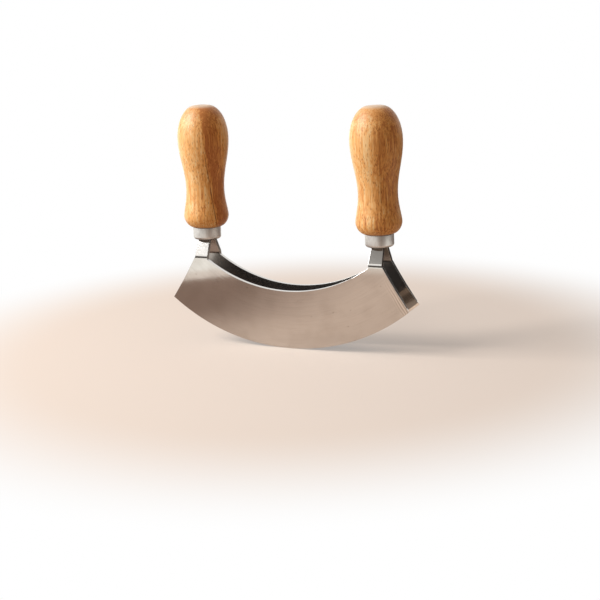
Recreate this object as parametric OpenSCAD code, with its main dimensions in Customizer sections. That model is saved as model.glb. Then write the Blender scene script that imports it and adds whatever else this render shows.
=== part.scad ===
// Mezzaluna: a rocking herb chopper with two crescent blades and two upright turned handles.
// X runs along the blades, Y through them, and Z up from the lowest point of both cutting edges.
// Each blade is one stamped sheet with a bent neck and a hidden tang at either end.

/* [Blades] */
// Length of a blade, tip to tip
blade_length = 150; // [130:1:165]
// Radius of the curved cutting edge
edge_radius = 118.5; // [108:0.1:140]
// Height of a blade at its middle, from the edge to the hollow top
blade_depth = 34.4; // [30:0.1:38]
// Drop from the crease to where the hollow top of a blade meets the necks
hollow_drop = 1.5; // [0.5:0.1:3]
// Thickness of the sheet that a blade is stamped from
blade_thickness = 2.4; // [1.8:0.1:2.8]
// Width over the outer faces of both blades
blades_over = 19.2; // [17:0.1:22]
// Height above the edge of the wide face that thins a blade on its inner side
taper_height = 12.4; // [9:0.1:16]
// Thickness of a blade at the bottom of that wide face
taper_thickness = 1.3; // [0.9:0.1:1.6]
// Height of the narrow ground bevel along the edge, below the wide face
grind_height = 2.4; // [1.5:0.1:4]
// Width of the flat that is left along the cutting edge
edge_land = 0.2; // [0.1:0.05:0.4]
// Depth of the slight hollow in each end of a blade
end_hollow = 0.35; // [0.2:0.05:1.5]

/* [Necks and tangs] */
// Height of the crease where a neck bends inwards
crease_height = 52.3; // [50:0.1:54]
// Width of a neck at the crease
neck_width = 8.1; // [7:0.1:9]
// Width of a neck where it enters its ferrule
neck_top_width = 7.1; // [6.4:0.1:7.6]
// Width over the outer faces of both necks where they enter a ferrule
necks_over = 8.8; // [7.8:0.1:9.8]
// Radius inside the bend of the sheet at the crease
crease_radius = 3; // [0.6:0.1:4]
// Radius inside the bend that brings a tang upright
bend_radius = 0.6; // [0.4:0.1:1.2]
// Width of a tang beside the bend that brings it upright
tang_width = 6; // [5:0.1:6.4]
// Width of a tang at its end
tang_end_width = 4.6; // [3.8:0.1:4.8]
// Length of the upright part of a tang
tang_length = 26; // [18:0.5:34]
// Size of the cut corners at a tang's end
tang_corner = 1.2; // [0.8:0.1:1.6]
// Gap between the two tangs in a handle
tang_gap = 0.06; // [0.04:0.01:0.2]

/* [Ferrules] */
// Height of a ferrule's underside
ferrule_height = 62; // [60:0.1:64]
// Length of a ferrule, from its underside to its rim
ferrule_length = 7.5; // [6:0.1:10]
// Outside diameter of a ferrule
ferrule_d = 16.6; // [15.6:0.1:19]
// Thickness of a ferrule's wall and floor
ferrule_wall = 0.8; // [0.5:0.1:1]
// Radius of a ferrule's rounded bottom corner
ferrule_round = 1.6; // [1.2:0.1:2]
// Clearance round the necks in a ferrule's slot
slot_clearance = 0.15; // [0.1:0.05:0.3]

/* [Handles] */
// Distance along X from a handle's axis, at the crease, to the tips of the blades
tip_reach = 20; // [17:0.2:26]
// Angle by which each handle leans towards the middle of the part, in degrees
handle_lean = 0.7; // [0:0.1:2]
// Length of a handle above its ferrule
handle_length = 71.8; // [60:0.2:85]
// Diameter of a handle at its belly
belly_d = 30; // [26:0.2:34]
// Height of the belly above the ferrule
belly_height = 52.6; // [44:0.2:56]
// Diameter of a handle at its waist
waist_d = 22.6; // [20:0.2:25]
// Height of the waist above the ferrule
waist_height = 22.8; // [18:0.2:26]
// Diameter of a handle at its flare
flare_d = 26.6; // [24:0.2:29]
// Height of the flare above the ferrule
flare_height = 6.6; // [5:0.2:9]
// Diameter of the flat on top of a handle
crown_d = 7.6; // [5:0.2:14]
// Clearance between a handle's tenon and its ferrule's wall
tenon_clearance = 0.05; // [0.02:0.01:0.1]
// Gap between a tenon's end and its ferrule's floor
tenon_gap = 0.3; // [0.2:0.05:0.6]

/* [Bores and resin] */
// Room between the tangs' corners and the wall of a handle's bore
bore_room = 0.35; // [0.2:0.05:0.6]
// Depth of a bore beyond the ends of the tangs
bore_overrun = 2; // [1:0.5:4]
// Included angle of the drilled end of a bore
drill_angle = 118; // [90:1:140]
// Clearance of the cured resin from the wood and the steel
resin_clearance = 0.04; // [0.02:0.01:0.06]

/* [Hidden] */
$fn = 96;

// Room that a cutting shape takes beyond what it cuts
over = 5;
// Points on each quarter or half wave of a handle's outline, and on each bend of the sheet
handle_steps = 10;
bend_steps = 6;

// Sides of the part: -1 is the front or the left, 1 is the rear or the right
front = -1;
rear = 1;
left = -1;
right = 1;

face_y = blades_over / 2;
tip_x = blade_length / 2;
handle_x = tip_x - tip_reach;
ferrule_top = ferrule_height + ferrule_length;
ferrule_floor = ferrule_height + ferrule_wall;

// Lean of the necks, from the crease to where they enter the ferrules
lean = atan((face_y - necks_over / 2) / (ferrule_height - crease_height));
tang_face = tang_gap / 2 + blade_thickness;
upright_height = crease_height + (face_y - tang_face) / tan(lean);
tang_top = upright_height + tang_length;

// Hollow top of a blade, an arc through both necks and the middle
hollow_half = handle_x - neck_width / 2;
hollow_rise = crease_height - hollow_drop - blade_depth;
top_radius = (hollow_half * hollow_half + hollow_rise * hollow_rise) / (2 * hollow_rise);

// Tip of a blade, on the cutting edge, and the shoulder where its end meets the neck
tip_z = edge_radius - sqrt(edge_radius * edge_radius - tip_x * tip_x);
shoulder_x = handle_x + neck_width / 2;
end_chord = norm([tip_x - shoulder_x, crease_height - tip_z]);
end_radius = end_chord * end_chord / (8 * end_hollow) + end_hollow / 2;
end_tilt = atan2(tip_x - shoulder_x, crease_height - tip_z);

// Tenon and bore of a handle
tenon_r = ferrule_d / 2 - ferrule_wall - tenon_clearance;
tenon_end = ferrule_floor + tenon_gap;
mouth_r = norm([neck_top_width / 2, neck_face(tenon_end)]) + bore_room;
mouth_top = upright_height + bore_room;
bore_r = norm([tang_width / 2, tang_face]) + bore_room;
bore_top = tang_top + bore_overrun;
drill_depth = bore_r / tan(drill_angle / 2);

// Distance of a neck's outer face from the middle plane, at height z
function neck_face(z) = face_y - (z - crease_height) * tan(lean);

// Points on an arc, from angle a to angle b
function arc(centre, radius, a, b, steps) = [
    for (i = [0:steps])
        let (angle = a + (b - a) * i / steps)
        centre + radius * [cos(angle), sin(angle)]
];

// Share of a smooth change from one radius of a handle to the next
function ease(share) = (1 - cos(180 * share)) / 2;

// One quarter of an ellipse-like round, fuller than an ellipse where power is above 2
function round_off(share, power) = pow(1 - pow(share, power), 1 / power);

// Section through a blade, its neck and its tang, grown by some clearance on both faces.
// It runs up the outer face, through both bends, and down the inner face.
module sheet_section(grow = 0) {
    setback = (crease_radius + blade_thickness) * tan(lean / 2);
    tail = bend_radius * tan(lean / 2);
    crease = [face_y - blade_thickness - crease_radius, crease_height - setback];
    upright = [tang_face + bend_radius, upright_height + tail];
    polygon(concat(
        [[face_y + grow, -over]],
        arc(crease, crease_radius + blade_thickness + grow, 0, lean, bend_steps),
        arc(upright, bend_radius - grow, 180 + lean, 180, bend_steps),
        [[tang_face + grow, tang_top + over], [tang_gap / 2 - grow, tang_top + over]],
        arc(upright, bend_radius + blade_thickness + grow, 180, 180 + lean, bend_steps),
        arc(crease, crease_radius - grow, lean, 0, bend_steps),
        [[face_y - blade_thickness - grow, -over]]
    ));
}

// Outline of a neck and its tang seen from the front, grown by some clearance.
// It leans towards the middle of the part, and its heights are taken from the crease.
module neck_outline(side, grow = 0) {
    root = blade_depth - crease_height;
    tang_end = tang_top - crease_height;
    half = [
        [neck_width / 2 + grow, root],
        [neck_width / 2 + grow, 0],
        [neck_top_width / 2 + grow, ferrule_height - crease_height],
        [tang_width / 2 + grow, upright_height - crease_height],
        [tang_end_width / 2 + grow, tang_end - tang_corner],
        [tang_end_width / 2 - tang_corner + grow, tang_end + grow]
    ];
    translate([side * handle_x, crease_height])
        rotate(side * handle_lean)
            polygon(concat(half, [for (i = [len(half) - 1:-1:0]) [-half[i][0], half[i][1]]]));
}

// What is left of a blade's outline once its hollow top and its two ends are cut away
module crescent_outline() {
    difference() {
        translate([-tip_x - over, -over])
            square([blade_length + 2 * over, crease_height + over]);
        translate([0, blade_depth + top_radius])
            circle(r = top_radius, $fn = 360);
        for (side = [left, right])
            translate([side * (tip_x + shoulder_x) / 2, (tip_z + crease_height) / 2])
                rotate(side * end_tilt)
                    translate([side * (end_radius - end_hollow), 0])
                        circle(r = end_radius, $fn = 360);
    }
}

// Disc that gives both blades their cutting edge: its rim is ground from the inner face,
// first with a wide taper and then with a narrow bevel
module edge_disc() {
    taper_r = edge_radius - taper_height;
    ground_r = edge_radius - grind_height;
    translate([0, 0, edge_radius])
        rotate([90, 0, 0])
            rotate_extrude($fn = 360)
                polygon([
                    [0, 0],
                    [taper_r, 0],
                    [taper_r, face_y - blade_thickness],
                    [ground_r, face_y - taper_thickness],
                    [edge_radius, face_y - edge_land],
                    [edge_radius, face_y + over],
                    [0, face_y + over]
                ]);
}

// Blade on the front of the part, with both necks and tangs
module blade_shape() {
    intersection() {
        edge_disc();
        rotate([90, 0, 0])
            linear_extrude(face_y + over) {
                crescent_outline();
                for (side = [left, right])
                    neck_outline(side);
            }
        translate([-tip_x - over, 0, 0])
            rotate([90, 0, 90])
                mirror([1, 0])
                    linear_extrude(blade_length + 2 * over)
                        sheet_section();
    }
}

module blade(side) {
    color("silver")
        if (side == front)
            blade_shape();
        else
            mirror([0, 1, 0])
                blade_shape();
}

// Sets a ferrule, a handle or its resin on its side of the part, leaning in about the crease
module stand(side) {
    translate([side * handle_x, 0, crease_height])
        rotate([0, -side * handle_lean, 0])
            translate([0, 0, -crease_height])
                children();
}

// Room that both tangs in one handle take in the resin
module tang_room(side) {
    for (face = [front, rear])
        intersection() {
            translate([0, over + face_y, 0])
                rotate([90, 0, 0])
                    linear_extrude(2 * (over + face_y))
                        neck_outline(side, resin_clearance);
            translate([side * handle_x - neck_width, 0, 0])
                rotate([90, 0, 90])
                    linear_extrude(2 * neck_width)
                        scale([face, 1])
                            sheet_section(resin_clearance);
        }
}

// Drawn metal cup with a rounded bottom corner and a slot that the necks pass through
module ferrule(side) {
    r = ferrule_d / 2;
    inner_round = ferrule_round - ferrule_wall;
    slot = [
        neck_top_width + 2 * slot_clearance,
        2 * (neck_face(ferrule_height) + slot_clearance),
        2 * ferrule_round
    ];
    color("gainsboro")
        stand(side)
            translate([0, 0, ferrule_height])
                difference() {
                    rotate_extrude()
                        difference() {
                            cup_half(r, ferrule_length, ferrule_round);
                            translate([0, ferrule_wall])
                                cup_half(r - ferrule_wall, ferrule_length, inner_round);
                        }
                    cube(slot, center = true);
                }
}

// Half section of a round cup's outline, with its bottom corner rounded
module cup_half(r, height, corner) {
    square([r - corner, corner]);
    translate([0, corner])
        square([r, height - corner]);
    translate([r - corner, corner])
        intersection() {
            circle(r = corner, $fn = 48);
            translate([0, -corner])
                square(corner);
        }
}

// Outline of a turned handle from its ferrule up: rounded foot, flare, waist, belly and crown
function handle_outline() = let (
    foot_power = 1.8,
    crown_power = 2,
    waist_pull = 0.76,
    foot_r = ferrule_d / 2,
    flare_r = flare_d / 2,
    waist_r = waist_d / 2,
    belly_r = belly_d / 2,
    crown_r = crown_d / 2,
    crown_rise = handle_length - belly_height
) concat(
    [for (i = [0:handle_steps]) let (s = i / handle_steps) [
        foot_r + (flare_r - foot_r) * round_off(cos(90 * s), foot_power),
        flare_height * (1 - cos(90 * s))
    ]],
    [for (i = [1:handle_steps]) let (s = i / handle_steps) [
        flare_r + (waist_r - flare_r) * ease(pow(s, waist_pull)),
        flare_height + (waist_height - flare_height) * s
    ]],
    [for (i = [1:2 * handle_steps]) let (s = i / handle_steps / 2) [
        waist_r + (belly_r - waist_r) * ease(s),
        waist_height + (belly_height - waist_height) * s
    ]],
    [for (i = [1:handle_steps]) let (s = i / handle_steps) [
        crown_r + (belly_r - crown_r) * round_off(sin(90 * s), crown_power),
        belly_height + crown_rise * sin(90 * s)
    ]]
);

// Turned wooden handle with a tenon in its ferrule and a blind bore for the tangs
module handle(side) {
    color("peru")
        stand(side)
            difference() {
                rotate_extrude() {
                    translate([0, ferrule_top])
                        polygon(concat([[0, 0]], handle_outline(), [[0, handle_length]]));
                    translate([0, tenon_end])
                        square([tenon_r, ferrule_top + over - tenon_end]);
                }
                bore_space(0);
            }
}

// Space that a handle's bore takes, less some clearance: a wide mouth, the bore and its drilled end
module bore_space(less) {
    mouth_bottom = tenon_end - (less > 0 ? 0 : over);
    translate([0, 0, mouth_bottom])
        cylinder(r = mouth_r - less, h = mouth_top - less - mouth_bottom);
    translate([0, 0, mouth_bottom])
        cylinder(r = bore_r - less, h = bore_top - mouth_bottom);
    translate([0, 0, bore_top])
        cylinder(r1 = bore_r - less, r2 = 0, h = drill_depth * (1 - less / bore_r));
}

// Cured resin that fills a bore round both tangs and holds them
module tang_resin(side) {
    color("tan")
        difference() {
            stand(side)
                bore_space(resin_clearance);
            tang_room(side);
        }
}

blade(front);  // front_blade
blade(rear);  // rear_blade
ferrule(left);  // left_ferrule
ferrule(right);  // right_ferrule
handle(left);  // left_handle
handle(right);  // right_handle
tang_resin(left);  // left_tang_resin
tang_resin(right);  // right_tang_resin
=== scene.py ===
from math import asin, atan, atan2, cos, hypot, pi, radians, sin, sqrt, tan

import bmesh
import bpy
from mathutils import Matrix, Vector


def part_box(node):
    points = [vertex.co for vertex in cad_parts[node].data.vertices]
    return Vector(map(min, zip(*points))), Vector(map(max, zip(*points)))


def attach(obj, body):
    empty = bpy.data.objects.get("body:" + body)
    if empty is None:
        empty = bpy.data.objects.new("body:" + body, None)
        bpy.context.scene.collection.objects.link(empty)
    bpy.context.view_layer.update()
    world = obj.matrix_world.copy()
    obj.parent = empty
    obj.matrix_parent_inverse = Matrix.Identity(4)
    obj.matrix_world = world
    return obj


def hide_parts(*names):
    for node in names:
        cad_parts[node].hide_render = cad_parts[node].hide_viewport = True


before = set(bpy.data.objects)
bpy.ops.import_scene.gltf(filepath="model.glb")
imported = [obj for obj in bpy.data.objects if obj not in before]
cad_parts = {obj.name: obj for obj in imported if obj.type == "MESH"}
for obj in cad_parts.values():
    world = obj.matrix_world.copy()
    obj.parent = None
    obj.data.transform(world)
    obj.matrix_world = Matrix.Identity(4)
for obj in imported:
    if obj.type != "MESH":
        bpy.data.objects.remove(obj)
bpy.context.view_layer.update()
print("frame loaded")

mm = 0.001
weld = 0.0005 * mm  # points closer than this are one point
left, right = -1, 1
sideNames = {left: "left", right: "right"}


# Editing, as by hand

def pickOnly(piece):
    bpy.ops.object.select_all(action="DESELECT")
    piece.select_set(True)
    bpy.context.view_layer.objects.active = piece


def startPiece(name, point):
    # A new piece in edit mode that holds one selected point
    bpy.ops.object.select_all(action="DESELECT")
    bpy.ops.mesh.primitive_plane_add(size=mm, location=point)
    piece = bpy.context.object
    piece.name = piece.data.name = name
    bpy.ops.object.transform_apply(location=True, rotation=True, scale=True)
    bpy.ops.object.mode_set(mode="EDIT")
    bpy.ops.mesh.select_all(action="SELECT")
    bpy.ops.mesh.merge(type="CENTER")
    return piece


def addPoint(point):
    # One more point in the same piece, which is then the only one selected
    bpy.ops.mesh.primitive_plane_add(size=mm, location=point)
    bpy.ops.mesh.merge(type="CENTER")


def drawBy(step):
    bpy.ops.mesh.extrude_region_move(TRANSFORM_OT_translate={"value": step})


def drawArc(centre, angle, steps, axis=(0, 1, 0)):
    bpy.ops.mesh.spin(steps=steps, angle=angle, center=centre, axis=axis)


def choose(piece, kind, test):
    # Selects the points or faces that pass the test
    bpy.ops.mesh.select_mode(type=kind)
    bpy.ops.mesh.select_all(action="DESELECT")
    mesh = bmesh.from_edit_mesh(piece.data)
    for item in {"VERT": mesh.verts, "FACE": mesh.faces}[kind]:
        item.select_set(test(item))
    bmesh.update_edit_mesh(piece.data)


def closeUp():
    # Welds the seams, turns all faces outwards and leaves edit mode
    bpy.ops.mesh.select_mode(type="VERT")
    bpy.ops.mesh.select_all(action="SELECT")
    bpy.ops.mesh.remove_doubles(threshold=weld)
    bpy.ops.mesh.normals_make_consistent(inside=False)
    bpy.ops.object.mode_set(mode="OBJECT")


def lathe(name, outline, sides):
    # Draws the outline from one point, as radius and height, and spins it about Z
    piece = startPiece(name, (outline[0][0], 0, outline[0][1]))
    for here, there in zip(outline, outline[1:]):
        drawBy((there[0] - here[0], 0, there[1] - here[1]))
    bpy.ops.mesh.select_all(action="SELECT")
    drawArc((0, 0, 0), 2 * pi, sides, (0, 0, 1))
    closeUp()
    return piece


def modify(piece, kind, **settings):
    pickOnly(piece)
    modifier = piece.modifiers.new(kind.lower(), kind)
    for name, value in settings.items():
        setattr(modifier, name, value)
    bpy.ops.object.modifier_apply(modifier=modifier.name)


def copyPiece(piece, name):
    pickOnly(piece)
    bpy.ops.object.duplicate()
    copy = bpy.context.object
    copy.name = copy.data.name = name
    return copy


def settle(piece, location=(0, 0, 0), rotation=(0, 0, 0), scale=(1, 1, 1)):
    # Moves the piece and puts its place into its mesh
    pickOnly(piece)
    piece.location, piece.rotation_euler, piece.scale = location, rotation, scale
    bpy.ops.object.transform_apply(location=True, rotation=True, scale=True)


def smooth(piece, angle):
    pickOnly(piece)
    bpy.ops.object.shade_smooth_by_angle(angle=radians(angle))


def standFor(piece, node, material):
    piece.data.materials.clear()
    piece.data.materials.append(material)
    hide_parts(node)
    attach(piece, "root")


def arc(centre, radius, start, end, steps):
    # Points on an arc in the plane of radius and height, with angles in degrees
    turns = [radians(start + (end - start) * step / steps) for step in range(steps + 1)]
    return [(centre[0] + radius * cos(turn), centre[1] + radius * sin(turn)) for turn in turns]


# Shader maths

def tone(red, green, blue):
    # A colour as it is seen, from 0 to 255, in the linear light that shaders use
    def linear(seen):
        return seen / 12.92 if seen < 0.04 else ((seen + 0.055) / 1.055) ** 2.4

    return (*[linear(value / 255) for value in (red, green, blue)], 1)


class Flow:
    # A socket in a material's tree: sums with it add Math nodes
    def __init__(self, tree, socket=None):
        self.tree = tree
        self.socket = socket

    def add(self, kind, settings=None, values=None, out=0):
        # Any node: its settings come first, then the values or links of its sockets
        node = self.tree.nodes.new("ShaderNode" + kind)
        for name, value in (settings or {}).items():
            if name == "stops":
                stops = node.color_ramp.elements
                while len(stops) < len(value):
                    stops.new(1)
                for stop, (position, colour) in zip(stops, value):
                    stop.position = position
                    stop.color = colour
            else:
                setattr(node, name, value)
        for name, value in (values or {}).items():
            if isinstance(value, Flow):
                self.tree.links.new(value.socket, node.inputs[name])
            else:
                node.inputs[name].default_value = value
        return Flow(self.tree, node.outputs[out] if len(node.outputs) else None)

    def other(self, out):
        # Another output of the same node
        return Flow(self.tree, self.socket.node.outputs[out])

    def math(self, operation, *values):
        return self.add("Math", {"operation": operation}, dict(enumerate(values)))

    def __add__(self, other):
        return self.math("ADD", self, other)

    def __sub__(self, other):
        return self.math("SUBTRACT", self, other)

    def __rsub__(self, other):
        return self.math("SUBTRACT", other, self)

    def __mul__(self, other):
        return self.math("MULTIPLY", self, other)

    def __truediv__(self, other):
        return self.math("DIVIDE", self, other)

    def __pow__(self, other):
        return self.math("POWER", self, other)

    def __abs__(self):
        return self.math("ABSOLUTE", self)

    __radd__ = __add__
    __rmul__ = __mul__

    def fade(self, start, end):
        # Smoothly from 0 at start to 1 at end
        low, high = min(start, end), max(start, end)
        kind = {"interpolation_type": "SMOOTHSTEP"}
        rise = self.add("MapRange", kind, {"Value": self, "From Min": low, "From Max": high})
        return rise if start < end else 1 - rise

    def to(self, colour, share):
        # This colour with a share of another one; 6, 7 and 2 are the Mix node's colour sockets
        return self.add("Mix", {"data_type": "RGBA"}, {0: share, 6: self, 7: colour}, out=2)

    def blend(self, number, share):
        # This number with a share of another one
        return self + (number - self) * share

    def parts(self):
        x = self.add("SeparateXYZ", None, {0: self})
        return x, x.other(1), x.other(2)

    def joined(self, x, y, z):
        return self.add("CombineXYZ", None, {0: x, 1: y, 2: z})

    def stretched(self, x, y, z):
        return self.add("VectorMath", {"operation": "MULTIPLY"}, {0: self, 1: (x, y, z)})

    def noise(self, scale=1, detail=2, rough=0.5):
        values = {"Vector": self, "Scale": scale, "Detail": detail, "Roughness": rough}
        return self.add("TexNoise", None, values)

    def plain(self, colour):
        flow = self.add("RGB")
        flow.socket.default_value = colour
        return flow

    def ramp(self, *stops):
        return self.add("ValToRGB", {"stops": stops}, {0: self})

    def relief(self, finish):
        # Bumps where this is high, as strong and tall as the finish says
        values = {"Strength": finish["reliefStrength"], "Distance": finish["reliefHeight"]}
        return self.add("Bump", None, {**values, "Height": self})


def newMaterial(name):
    material = bpy.data.materials.new(name)
    material.use_nodes = True
    material.node_tree.nodes.clear()
    return material, Flow(material.node_tree)


def surface(tree, constants, varying):
    # The shader with its fixed sockets and those that change over the surface
    shader = tree.add("BsdfPrincipled", None, {**constants, **varying})
    tree.add("OutputMaterial", None, {"Surface": shader})


print("helpers ready")


# Blades: each is a flat sheet that is drawn, ground, bent at its necks and mirrored

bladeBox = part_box("front_blade")
blade = {
    "edgeRadius": 118.5 * mm,
    "depth": 34.4 * mm,  # in the middle, from the edge to the hollow top
    "hollowDrop": 1.5 * mm,  # from the crease down to the hollow's ends
    "thickness": 2.4 * mm,
    "taperHeight": 12.4 * mm,  # of the zone on the inner side where the sheet gets thinner
    "taperThickness": 1.3 * mm,  # left at that zone's lower line
    "grindHeight": 2.4 * mm,
    "edgeLand": 0.2 * mm,  # left flat along the edge
    "endHollow": 0.35 * mm,  # depth of the curve at either end
    "crease": 52.3 * mm,  # height where the necks start to lean in
    "softening": 0.14 * mm,
    "hollowSteps": 44,
    "endSteps": 20,
    "bendSteps": 6,
}
neck = {
    "handleAxis": 20 * mm,  # along X from the tips
    "lean": radians(0.7),  # towards the middle of the tool
    "width": 8.1 * mm,
    "topWidth": 7.1 * mm,  # where the neck enters the ferrule
    "over": 8.8 * mm,  # over both necks, there
    "ferruleHeight": 62 * mm,  # of the ferrules' undersides
    "creaseRadius": 3 * mm,
    "bendRadius": 0.6 * mm,
    "tangWidth": 6 * mm,
    "tangEnd": 4.6 * mm,
    "tangCorner": 1.2 * mm,
    "tangGap": 0.06 * mm,  # between the two blades' tangs
}
sameTurn = 0.01  # radians, below which two angles count as one

tipX = bladeBox[1].x
faceY = -bladeBox[0].y
handleX = tipX - neck["handleAxis"]
crease = blade["crease"]
creaseR, bend = neck["creaseRadius"], neck["bendRadius"]
sheet = blade["thickness"]
necksIn = faceY - neck["over"] / 2
fold = atan(necksIn / (neck["ferruleHeight"] - crease))
setback = (creaseR + sheet) * tan(fold / 2)
bendStart = crease - setback
tangFace = neck["tangGap"] / 2 + sheet
upright = crease + (faceY - tangFace) / tan(fold)
tangTop = bladeBox[1].z
tipZ = blade["edgeRadius"] - sqrt(blade["edgeRadius"] ** 2 - tipX ** 2)
endTilt = atan2(tipX - handleX - neck["width"] / 2, crease - tipZ)  # lean of the blades' ends


def neckX(z):
    return handleX - (z - crease) * tan(neck["lean"])


def cross(first, second, centre, radius):
    # Where the line from first to second meets a circle, beyond first
    start, way = Vector(first), (Vector(second) - Vector(first)).normalized()
    offset = start - Vector(centre)
    half = offset.dot(way)
    return start + way * (-half + sqrt(half * half - offset.length_squared + radius * radius))


def drawIn(piece, below, above, radii, ends):
    # Draws the sheet on from one thickness to the next, and its rim from one radius to the next
    drawBy((0, above - below, 0))
    edgeR = blade["edgeRadius"]
    end = Vector((ends[0].x, ends[0].y))
    step = ends[1] - ends[0]

    def atEnd(point):
        fromEnd = Vector((point.co.x, point.co.z)) - end
        return fromEnd.length < weld and point.co.y > above - faceY - weld

    def onRim(point):
        fromArc = hypot(point.co.x, point.co.z - edgeR) - radii[0]
        inLayer = point.co.y > above - faceY - weld
        return inLayer and abs(fromArc) < weld and not atEnd(point)

    choose(piece, "VERT", onRim)
    share = radii[1] / radii[0]
    bpy.ops.transform.resize(value=(share, 1, share), center_override=(0, -faceY, edgeR))
    choose(piece, "VERT", atEnd)
    bpy.ops.transform.translate(value=(step.x, 0, step.y))

    def inLayer(face):
        return all(abs(point.co.y + faceY - above) < weld for point in face.verts)

    # The whole layer is chosen again, so that the next one starts from it
    choose(piece, "FACE", inLayer)


def drawSheet(name):
    # Flat right half of the front blade, from the middle to the tip, with its ground edge
    edgeR = blade["edgeRadius"]
    tip = Vector((tipX, edgeR - sqrt(edgeR * edgeR - tipX * tipX)))
    shoulder = Vector((handleX + neck["width"] / 2, crease))
    chord = (tip - shoulder).length
    endR = chord * chord / (8 * blade["endHollow"]) + blade["endHollow"] / 2
    outwards = Vector((crease - tip.y, tip.x - shoulder.x)) / chord
    endCentre = (tip + shoulder) / 2 + outwards * (endR - blade["endHollow"])

    innerX = handleX - neck["width"] / 2
    hollowRise = crease - blade["hollowDrop"] - blade["depth"]
    hollowR = (innerX * innerX + hollowRise * hollowRise) / (2 * hollowRise)
    straightDraws = 4  # at the hollow's end, the crease, the thinned zone and the ground edge
    steps = blade["hollowSteps"] + blade["endSteps"] + straightDraws

    def turnAt(point):
        return atan2(point.y - endCentre.y, point.x - endCentre.x)

    def onEnd(height):
        return Vector((endCentre.x - sqrt(endR ** 2 - (height - endCentre.y) ** 2), height))

    groundR, taperR = edgeR - blade["grindHeight"], edgeR - blade["taperHeight"]
    ground = onEnd(cross(shoulder, tip, (0, edgeR), groundR).y)
    taper = onEnd(cross(shoulder, tip, (0, edgeR), taperR).y)
    corner = onEnd(bendStart)

    piece = startPiece(name, (0, -faceY, 0))
    drawArc((0, 0, edgeR), asin(tipX / edgeR), steps)
    addPoint((0, -faceY, blade["depth"]))
    drawArc((0, 0, blade["depth"] + hollowR), asin(innerX / hollowR), blade["hollowSteps"])
    drawBy((0, 0, bendStart - crease + blade["hollowDrop"]))
    drawBy((corner.x - innerX, 0, 0))
    drawArc((endCentre.x, 0, endCentre.y), turnAt(taper) - turnAt(corner), blade["endSteps"])
    drawBy((ground.x - taper.x, 0, ground.y - taper.y))
    drawBy((tip.x - ground.x, 0, tip.y - ground.y))
    bpy.ops.mesh.select_all(action="SELECT")
    bpy.ops.mesh.bridge_edge_loops()
    bpy.ops.mesh.select_all(action="SELECT")
    drawBy((0, blade["edgeLand"], 0))
    # Two more layers, each with its rim drawn in along the edge: first the bevel, then the taper
    drawIn(piece, blade["edgeLand"], blade["taperThickness"], (edgeR, groundR), (tip, ground))
    drawIn(piece, blade["taperThickness"], sheet, (groundR, taperR), (ground, taper))
    return piece


def fitAcross(piece, width, centre):
    # Sets the width along X of what is selected, and its middle
    across = [point.co.x for point in bmesh.from_edit_mesh(piece.data).verts if point.select]
    middle = (min(across) + max(across)) / 2
    share = width / (max(across) - min(across))
    bpy.ops.transform.resize(value=(share, 1, 1), center_override=(middle, 0, 0))
    bpy.ops.transform.translate(value=(centre - middle, 0, 0))


def bendNeck(piece):
    # Draws the neck and tang out of the sheet's rim at the crease
    def isRim(face):
        middle = face.calc_center_median()
        return abs(middle.z - bendStart) < weld and abs(middle.x - handleX) < neck["width"]

    choose(piece, "FACE", isRim)
    first = Vector((0, sheet + creaseR - faceY, bendStart))
    drawArc(first, fold, blade["bendSteps"], (1, 0, 0))
    up = Vector((0, sin(fold), cos(fold)))
    second = Vector((0, -tangFace - bend, upright + bend * tan(fold / 2)))
    fitAcross(piece, neck["width"], handleX)
    gate = (neck["ferruleHeight"] - crease) / cos(fold) - setback  # along the neck, up to the ferrule
    reach = 0
    for distance, width in ((gate, neck["topWidth"]), ((second - first).dot(up), neck["tangWidth"])):
        drawBy(up * (distance - reach))
        reach = distance
        fitAcross(piece, width, neckX(first.z + reach * up.z))
    drawArc(second, -fold, blade["bendSteps"], (1, 0, 0))
    corner = neck["tangCorner"]
    for height, width in ((tangTop - corner, neck["tangEnd"]), (tangTop, neck["tangEnd"] - 2 * corner)):
        heights = [point.co.z for point in bmesh.from_edit_mesh(piece.data).verts if point.select]
        drawBy((0, 0, height - max(heights)))
        fitAcross(piece, width, neckX(height))


def trimShoulder(piece):
    # The end's line runs on up to the crease, across the first rings of the bend
    shoulderX = handleX + neck["width"] / 2
    centre = Vector((sheet + creaseR - faceY, bendStart))
    corner = max(point.co.x for point in piece.data.vertices if point.co.z > bendStart - weld)
    for ring in range(1, blade["bendSteps"]):
        turn = fold * ring / blade["bendSteps"]
        height = bendStart + (creaseR + sheet) * sin(turn)
        share = min(1, (height - bendStart) / (crease - bendStart))

        def isCorner(point):
            out = Vector((point.co.y, point.co.z)) - centre
            inRing = creaseR - weld < out.length < creaseR + sheet + weld
            atTurn = abs(atan2(out.y, -out.x) - turn) < sameTurn
            return inRing and atTurn and point.co.x > corner - weld

        choose(piece, "VERT", isCorner)
        bpy.ops.transform.translate(value=((shoulderX - corner) * share, 0, 0))


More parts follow.
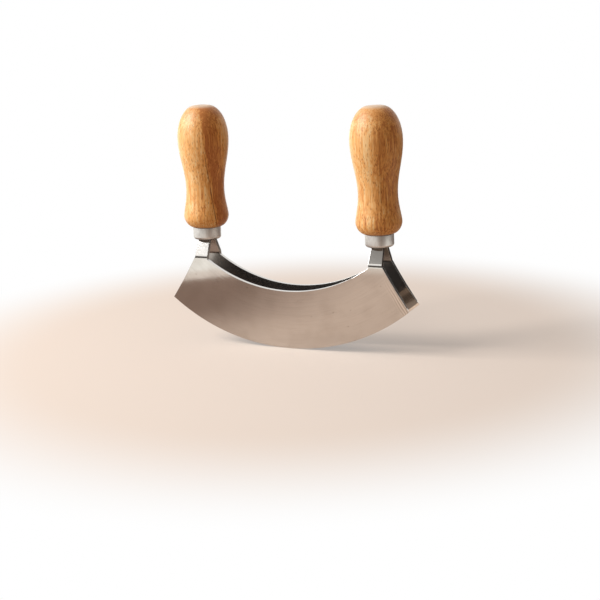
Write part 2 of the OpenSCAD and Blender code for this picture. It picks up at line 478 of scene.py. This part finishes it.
def makeBlades(material):
    piece = drawSheet("front_blade_steel")
    bendNeck(piece)
    bpy.ops.object.mode_set(mode="OBJECT")
    bpy.ops.object.mode_set(mode="EDIT")
    trimShoulder(piece)
    # The face left in the middle plane goes, so that the mirrored half joins without a wall
    choose(piece, "FACE", lambda face: abs(face.calc_center_median().x) < weld)
    bpy.ops.mesh.delete(type="FACE")
    closeUp()
    modify(piece, "MIRROR", use_axis=(True, False, False), merge_threshold=weld)
    modify(piece, "BEVEL", width=blade["softening"], segments=2, limit_method="ANGLE",
           angle_limit=radians(25))
    rear = copyPiece(piece, "rear_blade_steel")
    settle(rear, scale=(1, -1, 1))
    for item, node in ((piece, "front_blade"), (rear, "rear_blade")):
        pickOnly(item)
        bpy.ops.object.mode_set(mode="EDIT")
        closeUp()
        smooth(item, 5.5)  # less than the turn at the taper's upper line
        modify(item, "WEIGHTED_NORMAL", keep_sharp=True, weight=80)
        standFor(item, node, material)


# Ferrules: spun cups with a slot in the floor

ferrule = {
    "radius": 8.3 * mm,
    "length": 7.5 * mm,
    "wall": 0.8 * mm,
    "corner": 1.6 * mm,
    "rim": 0.3 * mm,  # rounding of the rim
    "slotGap": 0.15 * mm,
    "sides": 128,
    "cornerSteps": 10,
    "innerSteps": 8,
    "rimSteps": 5,
}
turnedSmooth = 40  # degrees, up to which the faces of turned pieces are shaded as one
ferruleBottom = neck["ferruleHeight"] - crease  # heights of turned pieces are taken from the crease
ferruleTop = ferruleBottom + ferrule["length"]


def cupOutline():
    radius, wall, corner, rim = (ferrule[key] for key in ("radius", "wall", "corner", "rim"))
    floor = ferruleBottom + wall
    return (
        [(0, ferruleBottom)]
        + arc((radius - corner, ferruleBottom + corner), corner, -90, 0, ferrule["cornerSteps"])
        + arc((radius - rim, ferruleTop - rim), rim, 0, 90, ferrule["rimSteps"])
        + [(radius - wall, ferruleTop)]
        + arc((radius - corner, ferruleBottom + corner), corner - wall, 0, -90, ferrule["innerSteps"])
        + [(0, floor)]
    )


def makeFerrules(material):
    cup = lathe("ferrule", cupOutline(), ferrule["sides"])
    gap = ferrule["slotGap"]
    bpy.ops.object.select_all(action="DESELECT")
    bpy.ops.mesh.primitive_cube_add(size=1, location=(0, 0, ferruleBottom))
    cutter = bpy.context.object
    cutter.scale = (neck["topWidth"] + 2 * gap, neck["over"] + 2 * gap, 2 * ferrule["corner"])
    bpy.ops.object.transform_apply(location=True, rotation=True, scale=True)
    modify(cup, "BOOLEAN", object=cutter, operation="DIFFERENCE", solver="EXACT")
    bpy.data.objects.remove(cutter)
    for side in (left, right):
        piece = copyPiece(cup, sideNames[side] + "_ferrule_cup")
        settle(piece, (side * handleX, 0, crease), (0, -side * neck["lean"], 0))
        smooth(piece, turnedSmooth)
        standFor(piece, sideNames[side] + "_ferrule", material)
    bpy.data.objects.remove(cup)


# Handles: turned wood, with the tenon in the ferrule and the bore for the tangs

handle = {
    "length": 71.8 * mm,
    "bellyRadius": 15 * mm,
    "bellyHeight": 52.6 * mm,
    "waistRadius": 11.3 * mm,
    "waistHeight": 22.8 * mm,
    "flareRadius": 13.3 * mm,
    "flareHeight": 6.6 * mm,
    "crownRadius": 3.8 * mm,
    "footPower": 1.8,  # below 2, the foot's rounding is flatter than an ellipse
    "waistPull": 0.76,  # below 1, the waist's narrowing starts sooner over the foot
    "tenonRadius": 7.45 * mm,
    "tenonGap": 0.3 * mm,  # under the tenon, in the ferrule
    "boreRadius": 4.21 * mm,
    "mouthRadius": 5.56 * mm,
    "boreRoom": 0.35 * mm,  # over the tangs' second bend, to the top of the wider mouth
    "boreOverrun": 2 * mm,  # over the tangs' ends
    "drillAngle": radians(118),
    "sides": 160,
    "footSteps": 16,
    "waistSteps": 18,
    "bellySteps": 34,
    "crownSteps": 24,
}


def ease(share):
    # From 0 to 1, slowly at both ends
    return (1 - cos(pi * share)) / 2


def handleOutline():
    belly, waist, flare, crown = (
        (handle[key + "Radius"], ferruleTop + handle.get(key + "Height", handle["length"]))
        for key in ("belly", "waist", "flare", "crown")
    )
    foot = ferrule["radius"]
    tenonEnd = ferruleBottom + ferrule["wall"] + handle["tenonGap"]
    mouthTop = upright - crease + handle["boreRoom"]
    boreTop = tangTop - crease + handle["boreOverrun"]
    points = [
        (0, boreTop + handle["boreRadius"] / tan(handle["drillAngle"] / 2)),
        (handle["boreRadius"], boreTop),
        (handle["boreRadius"], mouthTop),
        (handle["mouthRadius"], mouthTop),
        (handle["mouthRadius"], tenonEnd),
        (handle["tenonRadius"], tenonEnd),
        (handle["tenonRadius"], ferruleTop),
    ]
    for step in range(handle["footSteps"] + 1):
        turn = pi / 2 * step / handle["footSteps"]
        power = handle["footPower"]
        radius = foot + (flare[0] - foot) * (1 - cos(turn) ** power) ** (1 / power)
        points.append((radius, ferruleTop + handle["flareHeight"] * (1 - cos(turn))))
    for step in range(1, handle["waistSteps"] + 1):
        share = step / handle["waistSteps"]
        radius = flare[0] + (waist[0] - flare[0]) * ease(share ** handle["waistPull"])
        points.append((radius, flare[1] + (waist[1] - flare[1]) * share))
    for step in range(1, handle["bellySteps"] + 1):
        share = step / handle["bellySteps"]
        radius = waist[0] + (belly[0] - waist[0]) * ease(share)
        points.append((radius, waist[1] + (belly[1] - waist[1]) * share))
    for step in range(1, handle["crownSteps"] + 1):
        turn = pi / 2 * step / handle["crownSteps"]
        radius = crown[0] + (belly[0] - crown[0]) * cos(turn)
        points.append((radius, belly[1] + (crown[1] - belly[1]) * sin(turn)))
    return points + [(0, crown[1])]


def makeHandles(materials):
    turned = lathe("handle", handleOutline(), handle["sides"])
    for side in (left, right):
        piece = copyPiece(turned, sideNames[side] + "_handle_wood")
        settle(piece, (side * handleX, 0, crease), (0, -side * neck["lean"], 0))
        smooth(piece, turnedSmooth)
        standFor(piece, sideNames[side] + "_handle", materials[side])
    bpy.data.objects.remove(turned)


# Steel: satin brushed along the blade, with a duller inner side darkened by painted shade, cut ends
# darkened by painted shade, a polished hollow top brightened by a painted highlight and a bright ground
# edge

steel = {
    "colour": tone(200, 196, 192),
    "dull": tone(186, 181, 176),
    "streak": tone(172, 167, 162),
    "speck": tone(120, 114, 106),
    # painted shade on the inner sides, between the blades
    "shadedInnerSide": tone(120, 116, 112),
    # painted shade on the cut ends
    "cutEdgeShade": tone(44, 36, 28),
    "hollowTopHighlight": tone(214, 210, 205),  # painted highlight along the hollow top
    "groundEdge": tone(240, 234, 226),
    "lineDark": tone(150, 144, 138),
    "lineBright": tone(240, 234, 226),
    "roughness": 0.065,
    "innerRoughness": 0.16,  # added on the inner side of the blades
    "neckRoughness": 0.06,  # added on the inner side of the necks
    "taperRoughness": 0.05,  # added where the sheet gets thinner
    "groundRoughness": 0.22,
    "cutRoughness": 0.7,
    "polishedRoughness": 0.18,
    "metallic": 0.96,
    "streakWidth": 0.3 * mm,
    "streakLength": 22 * mm,
    "smudgeScale": 70,
    "speckScale": 330,
    "border": 0.1 * mm,  # sets the widths over which one finish gives way to the next
    "faceDepth": (0.12 * mm, 0.35 * mm),  # below a face, where it gives way to a cut edge
    "taperDepth": (0.7 * mm, 0.9 * mm),  # below the outer face, past which the thinned zone lies
    "shadeHeight": (7 * mm, 4.5 * mm),  # over the edge, where painted shade darkens the thinned zone
    "lineGap": 1.5 * mm,  # between the lines beside the right ends
    "lineReach": (6 * mm, 1.5 * mm),  # from the end, where they fade out
    "lineHeight": (48 * mm, 32 * mm),  # where they fade out towards the crease
    "lineWobble": 5,  # radians
    "lineWobbleScale": 120,
    "streakRoughness": 0.06,  # how much the roughness changes with the streaks
    "smudgeRoughness": 0.05,  # and with the smudges
    "reliefStrength": 0.35,
    "reliefHeight": 0.01 * mm,
}
steelShares = {  # how strongly each colour shows in its place
    "dull": 0.6,
    "streak": 0.35,
    "lineDark": 0.5,
    "lineBright": 0.6,
    "speck": 0.6,
    "shadedInnerSide": 0.6,
    "lowTaperShade": 0.9,  # of the inner side's painted shade, low in the thinned zone
}


def bladeZones(x, y, z, fromCentre):
    # Shares, from 0 to 1, of neck, ground edge, thinned zone, inner side and cut edge at a point
    border = steel["border"]
    groundR = blade["edgeRadius"] - blade["grindHeight"]
    taperR = blade["edgeRadius"] - blade["taperHeight"]
    neckShare = z.fade(bendStart, crease + mm)
    ground = fromCentre.fade(groundR - border, groundR + border)
    ground = ground * abs(y).fade(faceY - border / 2, faceY - border * 1.5)
    thinnedFrom, thinnedTo = steel["taperDepth"]
    taper = fromCentre.fade(taperR, taperR + border)
    taper = taper * abs(y).fade(faceY - thinnedFrom, faceY - thinnedTo)
    # Depth below the outer face, which leans in along the necks
    lean = z.math("MAXIMUM", z - crease, 0) * tan(fold)
    depth = (faceY - lean - abs(y)) * (1 - neckShare * (1 - cos(fold)))
    # Height over the inner face, which comes nearer where the sheet gets thinner
    slope = (sheet - blade["taperThickness"]) / (groundR - taperR)
    thinned = z.math("MAXIMUM", fromCentre - taperR, 0) * slope
    shallow, deep = steel["faceDepth"]
    inner = (sheet - thinned - depth).fade(deep, shallow)
    cut = depth.fade(shallow, deep) * (1 - inner) * (1 - ground)
    return neckShare, ground, taper, inner, cut


def endLines(point, x, z):
    # Bright and dark lines beside the right ends, and the share of them that shows
    fromEnd = (abs(x) - tipX) * cos(endTilt) + (z - tipZ) * sin(endTilt)
    wobble = point.noise(scale=steel["lineWobbleScale"], detail=1) * steel["lineWobble"]
    phase = fromEnd * (2 * pi / steel["lineGap"]) + wobble
    line = phase.math("SINE", phase).fade(-0.6, 0.9)
    far, near = steel["lineReach"]
    atRight = x.fade(-10 * mm, 10 * mm)
    return line, fromEnd.fade(-far, -near) * z.fade(*steel["lineHeight"]) * atRight


def steelMaterial():
    material, tree = newMaterial("satin_steel")
    point = tree.add("TexCoord", out="Object")
    x, y, z = point.parts()
    edgeR = blade["edgeRadius"]
    fromCentre = (x * x + (z - edgeR) * (z - edgeR)) ** 0.5
    neckShare, ground, taper, inner, cut = bladeZones(x, y, z, fromCentre)
    line, lineShows = endLines(point, x, z)
    # The brushing follows the edge's arc, and goes straight up the necks
    width, length = steel["streakWidth"], steel["streakLength"]
    along = x.math("ARCTAN2", x, edgeR - z) * edgeR
    bladeStreak = point.joined(fromCentre / width, along / length, y / mm).noise(detail=4)
    neckStreak = point.joined(x / width, y / width, z / length).noise(detail=3)
    streak = bladeStreak.blend(neckStreak, neckShare)
    smudge = point.noise(scale=steel["smudgeScale"], detail=3)
    speck = point.noise(scale=steel["speckScale"], detail=1).fade(0.755, 0.8)
    hollowEnd = handleX - neck["width"] / 2
    hollow = abs(x).fade(hollowEnd + mm, hollowEnd - mm)
    shadedInnerSide = inner * (1 - ground) * (1 - taper)
    high, low = steel["shadeHeight"]
    lowTaperShade = taper * fromCentre.fade(edgeR - high, edgeR - low)

    share = steelShares
    colour = tree.plain(steel["colour"])
    colour = colour.to(steel["dull"], smudge.fade(0.4, 0.7) * share["dull"])
    colour = colour.to(steel["streak"], streak.fade(0.45, 0.75) * share["streak"])
    colour = colour.to(steel["lineDark"], (1 - line) * lineShows * share["lineDark"])
    colour = colour.to(steel["lineBright"], line * lineShows * share["lineBright"])
    colour = colour.to(steel["speck"], speck * share["speck"])
    # Painted shade darkens the cut ends; a painted highlight brightens the hollow top
    edge = tree.plain(steel["cutEdgeShade"]).to(steel["hollowTopHighlight"], hollow)
    colour = colour.to(edge, cut).to(steel["groundEdge"], ground)
    # Painted shade: darker inner sides between the blades and a darker low thinned zone
    shaded = shadedInnerSide * (1 - neckShare) * share["shadedInnerSide"] + lowTaperShade * share["lowTaperShade"]
    colour = colour.to(steel["shadedInnerSide"], shaded)

    rough = steel["roughness"] + (streak - 0.5) * steel["streakRoughness"]
    rough = rough + (smudge - 0.5) * steel["smudgeRoughness"]
    neckChange = steel["neckRoughness"] - steel["innerRoughness"]
    rough = rough + shadedInnerSide * (steel["innerRoughness"] + neckShare * neckChange)
    rough = rough + taper * steel["taperRoughness"]
    rough = rough.blend(steel["groundRoughness"], ground)
    hollowChange = steel["polishedRoughness"] - steel["cutRoughness"]
    rough = rough.blend(steel["cutRoughness"] + hollow * hollowChange, cut)
    bump = streak.relief(steel)
    varying = {"Base Color": colour, "Roughness": rough, "Normal": bump}
    surface(tree, {"Metallic": steel["metallic"]}, varying)
    return material


# Ferrule metal: fine matt streaks along the cup, with painted shade at its lower corner and a painted
# contact shadow under its rim

ferruleMetal = {
    "colour": tone(202, 199, 196),
    "dull": tone(178, 173, 169),
    "streak": tone(150, 145, 141),
    # colour of the painted shade at the lower corner and under the rim
    "grime": tone(84, 76, 68),
    "dullShare": 0.6,  # how strongly each of these colours shows
    "streakShare": 0.35,
    "paintedShadeShare": 0.75,
    "streakScale": 2200,
    "streakStretch": 0.12,  # scale along the cup, as a share of that across it
    "cloudScale": 260,
    "paintedShadeOverBottom": (0.9 * mm, 0.1 * mm),  # heights where the painted shade fades in
    "grimeUnderRim": (0.45 * mm, 0.1 * mm),
    "roughness": 0.38,
    "cloudRoughness": 0.14,  # how much the roughness changes with the clouds
    "paintedShadeRoughness": 0.2,  # added in the painted shade
    "reliefStrength": 0.15,
    "reliefHeight": 0.01 * mm,
}


def ferruleMaterial():
    material, tree = newMaterial("drawn_ferrule_metal")
    point = tree.add("TexCoord", out="Object")
    _, _, z = point.parts()
    drawn = point.stretched(1, 1, ferruleMetal["streakStretch"])
    streak = drawn.noise(scale=ferruleMetal["streakScale"], detail=2)
    cloud = point.noise(scale=ferruleMetal["cloudScale"], detail=3)
    overBottom, underRim = z - (crease + ferruleBottom), crease + ferruleTop - z
    # Painted shade: darker over the cup's lower corner, and a painted contact shadow under its rim
    grime = overBottom.fade(*ferruleMetal["paintedShadeOverBottom"])
    grime = grime + underRim.fade(*ferruleMetal["grimeUnderRim"])
    colour = tree.plain(ferruleMetal["colour"])
    colour = colour.to(ferruleMetal["dull"], cloud.fade(0.45, 0.7) * ferruleMetal["dullShare"])
    colour = colour.to(ferruleMetal["streak"], streak.fade(0.5, 0.75) * ferruleMetal["streakShare"])
    colour = colour.to(ferruleMetal["grime"], grime * ferruleMetal["paintedShadeShare"])
    rough = ferruleMetal["roughness"] + (cloud - 0.5) * ferruleMetal["cloudRoughness"]
    rough = rough + grime * ferruleMetal["paintedShadeRoughness"]
    bump = streak.relief(ferruleMetal)
    varying = {"Base Color": colour, "Roughness": rough, "Normal": bump}
    surface(tree, {"Metallic": 1.0}, varying)
    return material


# Resin: matt and slightly cloudy

resin = {
    "dark": tone(150, 120, 74),
    "light": tone(186, 152, 100),
    "cloudScale": 300,
    "roughness": 0.5,
}


def resinMaterial():
    material, tree = newMaterial("casting_resin")
    cloud = tree.add("TexCoord", out="Object").noise(scale=resin["cloudScale"], detail=3)
    colour = cloud.ramp((0.3, resin["dark"]), (0.7, resin["light"]))
    surface(tree, {"Roughness": resin["roughness"]}, {"Base Color": colour})
    return material


# Wood: honey-brown and straight-grained, with short dark pores, one darker vein in each handle and
# darker wood beside it, partly painted shade, and a painted contact shadow just over the ferrule, under
# a satin lacquer

wood = {
    "light": tone(241, 206, 148),
    "middle": tone(234, 170, 92),
    "dark": tone(184, 112, 48),
    "vein": tone(122, 48, 6),  # also of the pores and the painted contact shadow over the ferrule
    "crown": tone(216, 192, 162),
    "level": 0.57,  # between dark at 0.2 and light at 0.8
    "broadChange": 0.45,  # how much the level changes with each layer of the grain
    "streakChange": 1.3,
    "fibreChange": 0.8,
    "poreShare": 0.7,  # how strongly the vein's colour shows in the pores
    "footShadowShare": 0.6,  # and in the painted contact shadow just over the ferrule
    "footShadowHeight": (1.1 * mm, 0.1 * mm),
    "topShare": 0.35,  # how strongly the dark colour shows round the top
    "topDepth": (9 * mm, 4 * mm),
    "crownShare": 0.72,
    "crownDepth": (1.6 * mm, 0.2 * mm),
    "poreWidth": 0.6 * mm,
    "poreLength": 3.6 * mm,
    "veinHeight": 22 * mm,  # where the vein has its set place
    "veinWander": 3 * mm,
    "veinEdge": (0.6 * mm, 0.1 * mm),
    "frontFade": (2 * mm, -2 * mm),  # across the handle's axis, where vein and shade fade in
    "fadeUnder": 6 * mm,  # length over which the vein fades out under its start
    "fadeOver": 8 * mm,  # and to either side of its end
    "shadeEdge": 2.5 * mm,
    "shadeEnd": (14 * mm, 4 * mm),  # from the vein, where the darker wood and its painted shade fade out
    "roughness": 0.42,
    "streakRoughness": 0.2,
    "poreRoughness": 0.15,
    "reliefStrength": 0.3,
    "reliefHeight": 0.04 * mm,
    "fibreRelief": 0.3,  # as shares of the pores' depth
    "streakRelief": 0.5,
    "coat": 0.75,
    "coatGap": 0.8,  # how much of the coat the pores and the vein lack
}
grainLayers = {  # scale across the grain, share of it along the grain, detail and roughness
    "broad": (110, 0.16, 2, 0.5),
    "streak": (900, 0.06, 4, 0.6),
    "fibre": (3000, 0.06, 2, 0.5),
    "wander": (60, 0.35, 2, 0.5),  # of the vein, from side to side
    "dash": (500, 0.3, 1, 0.5),
}
grain = {
    left: {
        "turn": radians(27.8),  # of the grain, about the handle's axis
        "shift": 0.0,  # into another stretch of the same noise
        "vein": 3.9 * mm,  # its set place, across the handle
        "slope": 0.125,  # its way sideways for each step down
        "from": 3 * mm,  # over the ferrule, where the vein starts
        "to": 44 * mm,  # and where it ends
        "strength": 0.85,
        "broken": 0.3,  # into dashes
        "shade": 0.44,  # of the darker wood, partly painted shade
        "shadeFrom": -0.5 * mm,  # from the vein
    },
    right: {
        "turn": radians(19.9),
        "shift": 0.37,
        "vein": 1.1 * mm,
        "slope": 0.0,
        "from": -4 * mm,
        "to": 60 * mm,
        "strength": 0.6,
        "broken": 0.7,
        "shade": 0.18,
        "shadeFrom": -5 * mm,
    },
}


def layer(name, moved):
    scale, share, detail, rough = grainLayers[name]
    return moved.stretched(1, 1, share).noise(scale, detail, rough)


def veinAndShade(x, y, z, moved, streak, choice):
    # The vein at the front of a handle, and the darker wood beside it, partly painted shade
    fromVein = x + (layer("wander", moved) - 0.5) * wood["veinWander"] - choice["vein"]
    fromVein = fromVein + (z - wood["veinHeight"]) * choice["slope"]
    inFront = y.fade(*wood["frontFade"])
    start, end, over = choice["from"], choice["to"], wood["fadeOver"]
    reach = z.fade(start - wood["fadeUnder"], start) * z.fade(end + over, end - over)
    gap = 1 - layer("dash", moved).fade(0.42, 0.56)
    dash = 1 - gap * choice["broken"]
    vein = abs(fromVein).fade(*wood["veinEdge"]) * inFront * reach
    vein = vein * streak.fade(0.3, 0.55) * dash
    shade = fromVein.fade(choice["shadeFrom"], choice["shadeFrom"] + wood["shadeEdge"])
    return vein, shade * fromVein.fade(*wood["shadeEnd"]) * inFront


def woodMaterial(side):
    choice = grain[side]
    material, tree = newMaterial(sideNames[side] + "_lacquered_wood")
    mapping = {
        "Vector": tree.add("TexCoord", out="Object"),
        "Location": (side * handleX, 0, crease + ferruleTop),
        "Rotation": (0, 0, choice["turn"]),
    }
    local = tree.add("Mapping", {"vector_type": "TEXTURE"}, mapping)
    x, y, z = local.parts()
    shift = (choice["shift"],) * 3
    moved = tree.add("VectorMath", {"operation": "ADD"}, {0: local, 1: shift})
    broad, streak, fibre = (layer(name, moved) for name in ("broad", "streak", "fibre"))
    cells = {
        "Vector": moved.stretched(1, 1, wood["poreWidth"] / wood["poreLength"]),
        "Scale": 1 / wood["poreWidth"],
    }
    cell = tree.add("TexVoronoi", None, cells)
    chance, _, _ = cell.other("Color").parts()
    pore = cell.fade(0.36, 0.14) * chance.fade(0.1, 0.5)
    vein, shade = veinAndShade(x, y, z, moved, streak, choice)

    # Painted shade, in part: the darker wood darkens the front of the handle right of the vein
    level = wood["level"] - shade * choice["shade"] + (broad - 0.5) * wood["broadChange"]
    level = level + (streak - 0.5) * wood["streakChange"] + (fibre - 0.5) * wood["fibreChange"]
    colour = level.ramp((0.2, wood["dark"]), (0.5, wood["middle"]), (0.8, wood["light"]))
    colour = colour.to(wood["vein"], vein * choice["strength"])
    colour = colour.to(wood["vein"], pore * wood["poreShare"])
    # Painted contact shadow: a dark line just over the ferrule
    colour = colour.to(wood["vein"], z.fade(*wood["footShadowHeight"]) * wood["footShadowShare"])
    underTop = handle["length"] - z
    colour = colour.to(wood["dark"], underTop.fade(*wood["topDepth"]) * wood["topShare"])
    colour = colour.to(wood["crown"], underTop.fade(*wood["crownDepth"]) * wood["crownShare"])

    rough = wood["roughness"] + (streak - 0.5) * wood["streakRoughness"]
    rough = rough + pore * wood["poreRoughness"]
    bump = (fibre * wood["fibreRelief"] + streak * wood["streakRelief"] - pore).relief(wood)
    coat = (1 - pore * wood["coatGap"]) * (1 - vein * wood["coatGap"]) * wood["coat"]
    constants = {
        "Coat Roughness": 0.6,
        "IOR": 1.45,
        "Specular IOR Level": 0.34,
        "Specular Tint": (1, 0.95, 0.86, 1),
    }
    varying = {"Base Color": colour, "Coat Weight": coat, "Roughness": rough, "Normal": bump}
    surface(tree, constants, varying)
    return material


makeBlades(steelMaterial())
print("blades made")
makeFerrules(ferruleMaterial())
print("ferrules made")
makeHandles({side: woodMaterial(side) for side in (left, right)})
print("handles made")
resinFinish = resinMaterial()
for side in (left, right):
    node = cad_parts[sideNames[side] + "_tang_resin"]
    node.data.materials.clear()
    node.data.materials.append(resinFinish)
print("resin finished")


# Floor, light and camera

scene = bpy.context.scene
floorLook = {
    "size": 40,
    "near": tone(222, 202, 182),
    "lift": 0.3,  # share of plain white that keeps the shadows soft
    "fadesAt": (0.15, 0.27),  # distance from the tool, where it turns white
    "bounce": tone(172, 148, 124),  # what it throws back at wood
    "mirrored": (tone(136, 112, 97), tone(233, 214, 197)),  # what steel mirrors, left and right
    "turnsAt": (-0.105, 0.012),  # along X, where the left one becomes the right one
    "turnShift": 0.02,  # how far to the left that place moves close in front of the tool
    "shiftsFrom": (-0.088, -0.04),  # along Y
    "shiftsTo": (0, -0.03),
    "mirrorLift": 0.06,
    "mirrorFadesAt": (0.2095, 0.2125),
    "mirrorFar": (1.15, 1.03, 0.92, 1),
    "whitensAt": (0.234, 0.242),
    "mirrorWhite": (1.42, 1.4, 1.32, 1),
    "corner": tone(128, 112, 105),  # mirrored from the right, behind and in front
    "cornerBehind": ((-0.05, 0.05), (0.12, 0.2)),  # along X and along Y
    "cornerInFront": ((0.04, 0.16), (-0.1, -0.17)),
    "frontShare": 0.9,  # of the corner in front, against the one behind
}
studio = {
    "keyAzimuth": -60,  # degrees, as is its elevation
    "keyElevation": 34,
    "keyDistance": 1.2,
    "keyAim": (0, 0, 0.07),
    "keySize": 0.7,
    "keyPower": 19.6,
    "keyColour": (0.99, 1, 1.05),
    "ambient": (0.33, 0.252, 0.18, 1),
    "room": (0.13, 0.12, 0.11, 1),  # mirrored from the camera's side and the right
    "above": (0.39, 0.38, 0.36, 1),  # mirrored from overhead
    "aboveAt": (0.5, 0.7),  # sine of the height where it begins
    "backdrop": (1.05, 1.05, 1.05, 1),  # mirrored from behind the tool
    "backdropWay": (-0.5, 0.86, 0.1),
    "backdropAt": (-0.15, 0.55),  # cosine of the angle to it
    "screen": (1.6, 1.62, 1.6, 1),  # mirrored from a white screen beside the key
    "screenWay": (-0.77, -0.64, 0),
    "screenAt": (0.3, 0.5),
    "screenLow": (18, 25),  # heights in degrees over which its lower edge fades in
    "screenHigh": (40.9, 36.8),  # and its upper edge out
}
camera = {
    "azimuth": 23.67,  # degrees, as are elevation and roll
    "elevation": 13.98,
    "roll": 2.25,
    "distance": 741.5 * mm,
    "aim": (7.55 * mm, -7.76 * mm, 29.28 * mm),
    "lens": 76.3,  # millimetres, as is the sensor's width
    "sensor": 36,
}
white = (1, 1, 1, 1)


def cornerShare(x, y, place):
    alongX, alongY = place
    return x.fade(*alongX) * y.fade(*alongY)


def floorMaterial():
    # The camera sees a warm floor that turns white with distance; wood and steel get other colours
    material, tree = newMaterial("pale_floor")
    x, y, _ = tree.add("TexCoord", out="Object").parts()
    away = (x * x + y * y) ** 0.5
    seen = tree.add("LightPath", out="Is Camera Ray")
    mirroring = seen.other("Is Glossy Ray")
    dim = cornerShare(x, y, floorLook["cornerBehind"])
    dim = dim + cornerShare(x, y, floorLook["cornerInFront"]) * floorLook["frontShare"]
    close = y.fade(*floorLook["shiftsFrom"]) * y.fade(*floorLook["shiftsTo"])
    across = (x + close * floorLook["turnShift"]).fade(*floorLook["turnsAt"])
    mirrored = across.ramp(*enumerate(floorLook["mirrored"])).to(floorLook["corner"], dim)
    colour = tree.plain(floorLook["bounce"]).to(floorLook["near"], seen).to(mirrored, mirroring)
    matt = tree.add("BsdfDiffuse", None, {"Color": colour})
    whitens = away.fade(*floorLook["whitensAt"])
    beyond = tree.plain(floorLook["mirrorFar"]).to(floorLook["mirrorWhite"], whitens)
    far = tree.plain(white).to(beyond, mirroring)
    glow = tree.add("Emission", None, {"Color": far, "Strength": 1.0})
    lift, mirrorLift = floorLook["lift"], floorLook["mirrorLift"]
    share = seen * (lift + (1 - lift) * away.fade(*floorLook["fadesAt"]))
    mirrorFade = away.fade(*floorLook["mirrorFadesAt"]) * (1 - dim)
    share = share + mirroring * (mirrorLift + (1 - mirrorLift) * mirrorFade)
    mixed = tree.add("MixShader", None, {0: share, 1: matt, 2: glow})
    tree.add("OutputMaterial", None, {"Surface": mixed})
    return material


def makeFloor():
    bpy.ops.object.select_all(action="DESELECT")
    bpy.ops.mesh.primitive_plane_add(size=floorLook["size"], location=(0, 0, 0))
    floor = bpy.context.object
    floor.name = "floor"
    floor.data.materials.append(floorMaterial())


def lookFrom(azimuth, elevation):
    a, e = radians(azimuth), radians(elevation)
    return Vector((sin(a) * cos(e), -cos(a) * cos(e), sin(e)))


def makeKey():
    lamp = bpy.data.lights.new("key", "AREA")
    lamp.shape = "SQUARE"
    lamp.size = studio["keySize"]
    lamp.energy = studio["keyPower"]
    lamp.color = studio["keyColour"]
    key = bpy.data.objects.new("key", lamp)
    back = lookFrom(studio["keyAzimuth"], studio["keyElevation"])
    key.location = Vector(studio["keyAim"]) + back * studio["keyDistance"]
    key.rotation_mode = "QUATERNION"
    key.rotation_quaternion = back.to_track_quat("Z", "Y")
    scene.collection.objects.link(key)


def makeWorld():
    # Soft light all round for wood, a room with a backdrop and a screen for steel, white for the camera
    world = bpy.data.worlds.new("studio")
    scene.world = world
    world.use_nodes = True
    world.node_tree.nodes.clear()
    tree = Flow(world.node_tree)
    way = tree.add("TexCoord", out="Generated")
    _, _, z = way.parts()

    def towards(direction):
        ways = {0: way, 1: direction}
        return tree.add("VectorMath", {"operation": "DOT_PRODUCT"}, ways, out="Value")

    def heights(name):
        return [sin(radians(angle)) for angle in studio[name]]

    backdrop = towards(studio["backdropWay"]).fade(*studio["backdropAt"])
    screen = towards(studio["screenWay"]).fade(*studio["screenAt"])
    screen = screen * z.fade(*heights("screenLow")) * z.fade(*heights("screenHigh"))
    mirrored = tree.plain(studio["room"]).to(studio["above"], z.fade(*studio["aboveAt"]))
    mirrored = mirrored.to(studio["backdrop"], backdrop).to(studio["screen"], screen)
    seen = tree.add("LightPath", out="Is Camera Ray")
    light = tree.plain(studio["ambient"]).to(mirrored, seen.other("Is Glossy Ray")).to(white, seen)
    sky = tree.add("Background", None, {"Color": light, "Strength": 1.0})
    tree.add("OutputWorld", None, {"Surface": sky})


def makeCamera():
    lens = bpy.data.cameras.new("camera")
    lens.lens = camera["lens"]
    lens.sensor_width = camera["sensor"]
    item = bpy.data.objects.new("camera", lens)
    back = lookFrom(camera["azimuth"], camera["elevation"])
    roll = Matrix.Rotation(-radians(camera["roll"]), 3, "Z")
    turn = (-back).to_track_quat("-Z", "Y").to_matrix() @ roll
    place = Vector(camera["aim"]) + back * camera["distance"]
    item.matrix_world = Matrix.Translation(place) @ turn.to_4x4()
    scene.collection.objects.link(item)
    scene.camera = item


makeFloor()
makeKey()
makeWorld()
makeCamera()
scene.view_settings.view_transform = "Standard"
print("studio ready")
